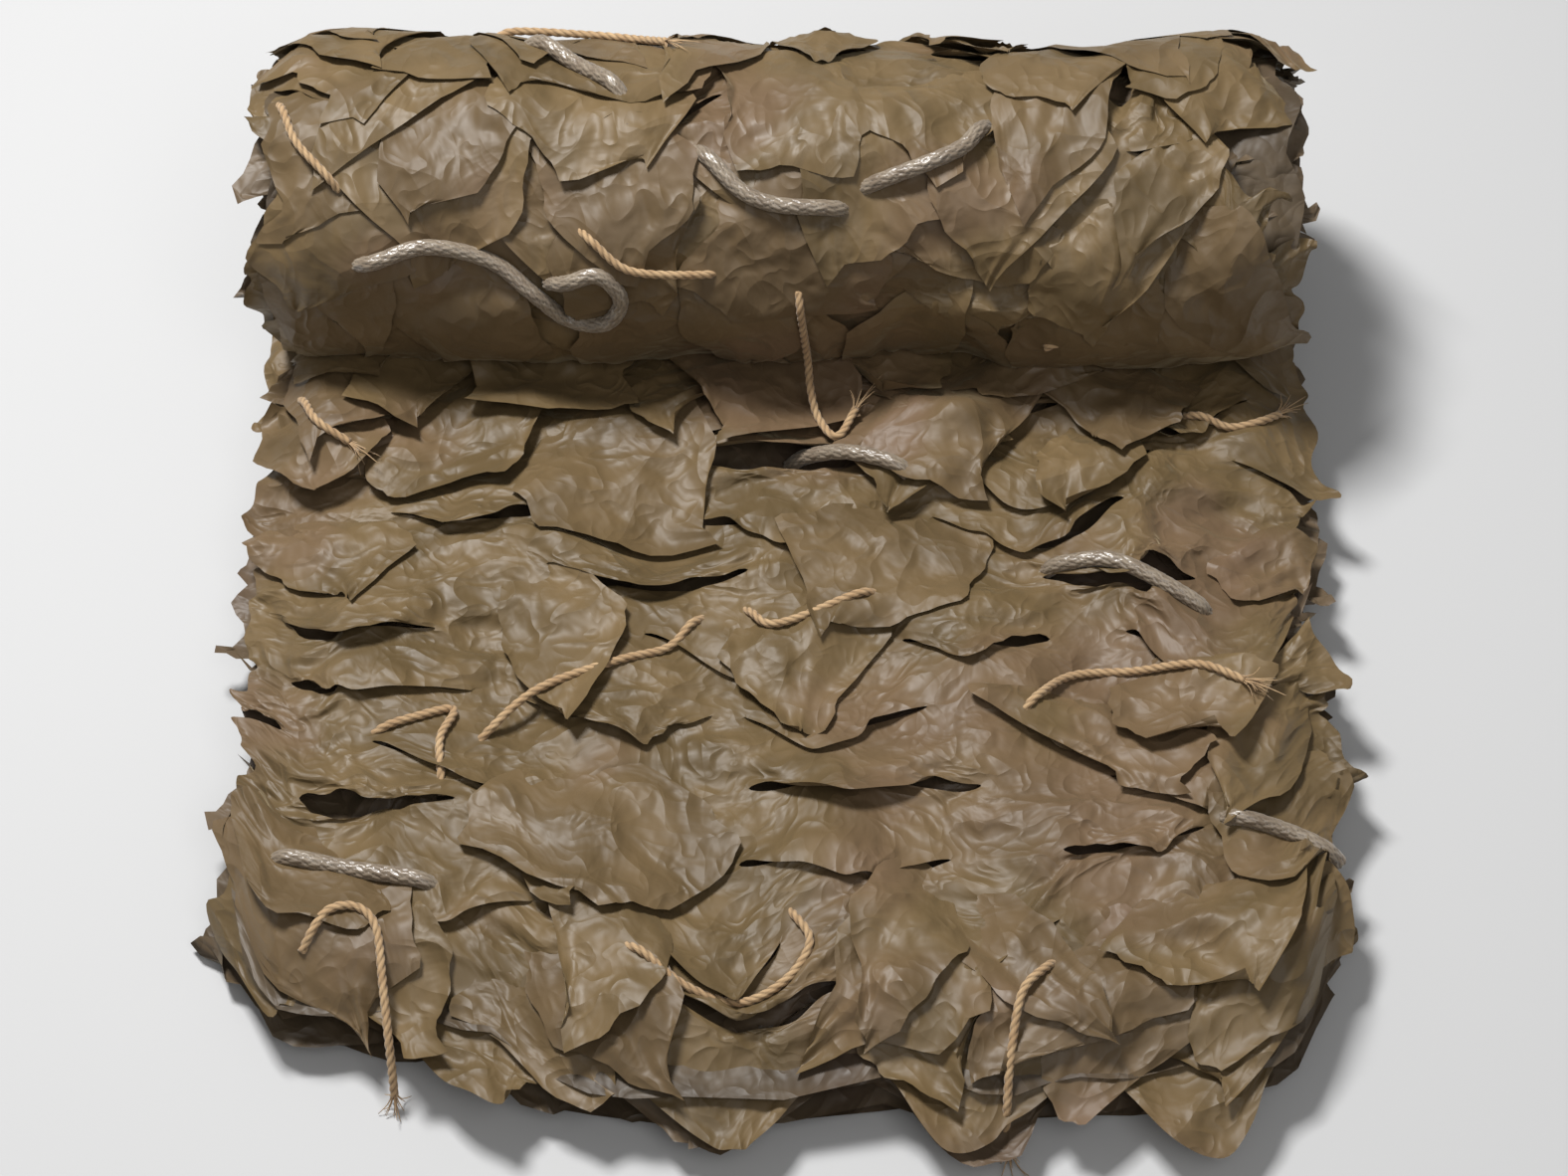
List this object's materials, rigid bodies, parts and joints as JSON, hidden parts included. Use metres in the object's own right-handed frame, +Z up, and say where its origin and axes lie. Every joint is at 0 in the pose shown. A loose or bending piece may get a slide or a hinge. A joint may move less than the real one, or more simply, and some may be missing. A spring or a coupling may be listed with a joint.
{
  "type": "camouflage net",
  "caption": "Leaf-cut camouflage net, folded into a thick band and rolled up from its far end, with twine ties, a braided edge rope and a flat loose end.",
  "frame": {"origin": "on the floor, in the middle of the space the net takes up", "axes": "+Z up; X across the band; the open end points to -Y and the roll lies towards +Y"},
  "size_m": [0.3926, 0.4245, 0.1296],
  "materials": {
    "net_cloth": "satin",
    "rope_braid": "satin",
    "tie_twine": "matte"
  },
  "bodies": {
    "root": {"folded_net": "net_cloth", "edge_rope_loop": "rope_braid", "edge_rope_crease": "rope_braid", "edge_rope_roll_left": "rope_braid", "edge_rope_roll_right": "rope_braid", "edge_rope_roll_top": "rope_braid", "edge_rope_tongue_middle": "rope_braid", "edge_rope_tongue_right": "rope_braid", "edge_rope_tongue_left": "rope_braid", "edge_rope_side": "rope_braid", "tie_over_crease": "tie_twine", "tie_roll_left": "tie_twine", "tie_roll_top": "tie_twine", "tie_roll_front": "tie_twine", "tie_crease_right": "tie_twine", "tie_side_right": "tie_twine", "tie_left_frayed": "tie_twine", "tie_middle": "tie_twine", "tie_long_left": "tie_twine", "tie_left": "tie_twine", "tie_right": "tie_twine", "tie_big_loop": "tie_twine", "tie_front_left": "tie_twine", "tie_front_right": "tie_twine"}
  },
  "joints": []
}
